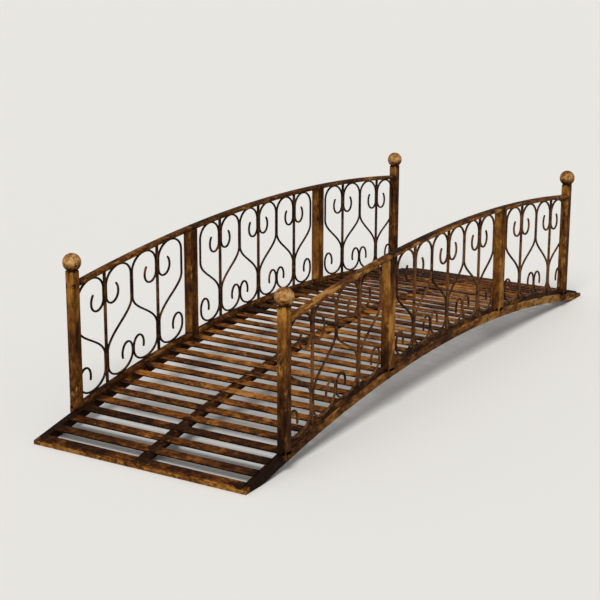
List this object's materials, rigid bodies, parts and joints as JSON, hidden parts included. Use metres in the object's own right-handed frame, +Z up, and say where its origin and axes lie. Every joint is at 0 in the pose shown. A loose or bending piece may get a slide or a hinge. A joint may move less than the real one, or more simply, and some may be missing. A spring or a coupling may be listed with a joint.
{
  "type": "arched garden footbridge",
  "caption": "Low-arched steel garden footbridge with a slatted deck, scrollwork railings and ball finials on the end posts.",
  "frame": {"origin": "on the ground under the middle of the bridge", "axes": "+X along the bridge, +Y across it, +Z up"},
  "size_m": [2.23, 0.73, 0.492],
  "materials": {
    "beam_steel": "dark rust-brown baked finish, shaded and dusty",
    "slat_steel": "rust-brown baked finish with golden wear on the edges",
    "post_steel": "mottled rust-brown and antique-gold baked finish",
    "ball_copper": "copper-gold rubbed finish over rust brown",
    "rail_steel": "mottled rust-brown and antique-gold baked finish",
    "scroll_steel": "near-black brown baked finish"
  },
  "bodies": {
    "root": {"side_beam_left": "beam_steel", "side_beam_right": "beam_steel", "centre_beam": "beam_steel", "end_bar_a": "beam_steel", "end_bar_b": "beam_steel", "slats_a": "slat_steel", "slats_middle": "slat_steel", "slats_b": "slat_steel", "end_post_left_a": "post_steel", "ball_left_a": "ball_copper", "mid_post_left_a": "post_steel", "end_post_left_b": "post_steel", "ball_left_b": "ball_copper", "mid_post_left_b": "post_steel", "handrail_left_a": "rail_steel", "bottom_rail_left_a": "rail_steel", "scroll_panel_left_a": "scroll_steel", "handrail_left_middle": "rail_steel", "bottom_rail_left_middle": "rail_steel", "scroll_panel_left_middle": "scroll_steel", "handrail_left_b": "rail_steel", "bottom_rail_left_b": "rail_steel", "scroll_panel_left_b": "scroll_steel", "end_post_right_a": "post_steel", "ball_right_a": "ball_copper", "mid_post_right_a": "post_steel", "end_post_right_b": "post_steel", "ball_right_b": "ball_copper", "mid_post_right_b": "post_steel", "handrail_right_a": "rail_steel", "bottom_rail_right_a": "rail_steel", "scroll_panel_right_a": "scroll_steel", "handrail_right_middle": "rail_steel", "bottom_rail_right_middle": "rail_steel", "scroll_panel_right_middle": "scroll_steel", "handrail_right_b": "rail_steel", "bottom_rail_right_b": "rail_steel", "scroll_panel_right_b": "scroll_steel"}
  },
  "joints": []
}
